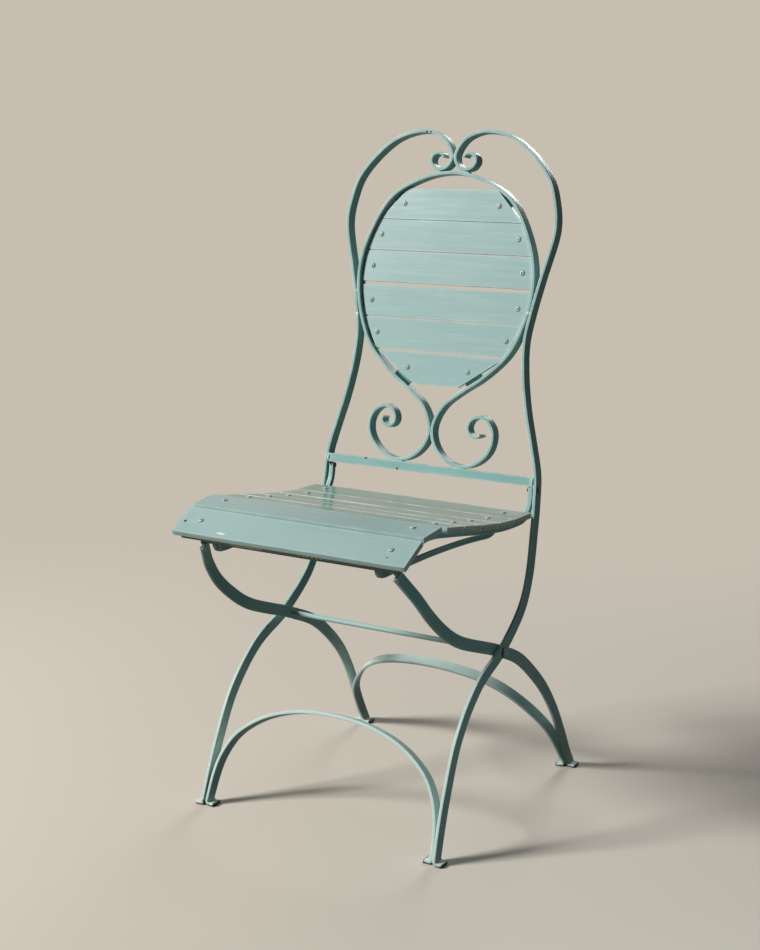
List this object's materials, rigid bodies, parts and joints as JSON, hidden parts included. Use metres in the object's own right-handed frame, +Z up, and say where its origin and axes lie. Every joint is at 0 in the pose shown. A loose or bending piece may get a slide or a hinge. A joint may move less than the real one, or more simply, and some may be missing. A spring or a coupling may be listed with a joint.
{
  "type": "folding_garden_chair",
  "caption": "Folding garden chair: painted flat-bar steel frame with a scrolled lyre back, crossed legs on arched feet, and painted wooden boards for seat and back.",
  "frame": {"origin": "The middle of the chair's footprint on the floor, under the middle of its box.", "axes": "+X is the sitter's left to right as seen from in front (the chair's mirror axis crosses it), -Y is the way the sitter faces, +Z is up."},
  "size_m": [0.41, 0.4954, 0.9563],
  "materials": {
    "frame": "semi-gloss oil paint, worn through at the edges",
    "boards": "semi-gloss oil paint over bare boards, chipped along the edges",
    "screws": "painted over with the boards, rust at the nuts",
    "worn_steel": "bare steel, browned by rust where the paint has worn off"
  },
  "bodies": {
    "long_frame": {"side_bar_left": "frame", "side_bar_right": "frame", "lyre_bar": "frame", "cross_rail": "frame", "front_arch": "frame", "back_board_1": "boards", "back_board_2": "boards", "back_board_3": "boards", "back_board_4": "boards", "back_board_5": "boards", "back_board_6": "boards", "back_screw_1_left": "screws", "back_screw_1_right": "screws", "back_screw_2_left": "screws", "back_screw_2_right": "screws", "back_screw_3_left": "screws", "back_screw_3_right": "screws", "back_screw_4_left": "screws", "back_screw_4_right": "screws", "back_screw_5_left": "screws", "back_screw_5_right": "screws", "back_screw_6_left": "screws", "back_screw_6_right": "screws"},
    "short_frame": {"rear_leg_left": "frame", "rear_leg_right": "frame", "rear_arch": "frame", "pivot_rod": "frame", "pivot_washer_left": "frame", "pivot_washer_right": "frame", "rod_rivet_left": "worn_steel", "rod_rivet_right": "worn_steel"},
    "seat": {"seat_rail_left": "frame", "seat_rail_right": "frame", "seat_tie_bar": "frame", "guide_left": "frame", "guide_right": "frame", "seat_pin_left": "worn_steel", "seat_pin_right": "worn_steel", "front_board": "boards", "seat_board_2": "boards", "seat_board_3": "boards", "seat_board_4": "boards", "seat_board_5": "boards", "seat_board_6": "boards", "seat_board_7": "boards", "front_board_screw_left": "screws", "front_board_screw_right": "screws", "seat_board_2_screw_left": "screws", "seat_board_2_screw_right": "screws", "seat_board_3_screw_left": "screws", "seat_board_3_screw_right": "screws", "seat_board_4_screw_left": "screws", "seat_board_4_screw_right": "screws", "seat_board_5_screw_left": "screws", "seat_board_5_screw_right": "screws", "seat_board_6_screw_left": "screws", "seat_board_6_screw_right": "screws", "seat_board_7_screw_left": "screws", "seat_board_7_screw_right": "screws"},
    "rod": {"slide_rod": "frame"}
  },
  "joints": [
    {"name": "seat_fold", "type": "hinge", "parent": "long_frame", "child": "seat", "pos_m": [0, 0.1244, 0.4515], "axis": [-1, 0, 0], "range_deg": [0, 93.7]},
    {"name": "leg_fold", "type": "hinge", "parent": "long_frame", "child": "short_frame", "pos_m": [0, 0.0183, 0.2415], "axis": [-1, 0, 0], "range_deg": [0, 68]},
    {"name": "rod_slide", "type": "slide", "parent": "seat", "child": "rod", "axis": [0, 1, 0], "range_m": [0, 0.2748]}
  ],
  "couplings": [
    {"joint": "leg_fold", "follows": "seat_fold", "ratio": 0.7254},
    {"joint": "rod_slide", "follows": "seat_fold", "m_per_rad": 0.1679}
  ]
}
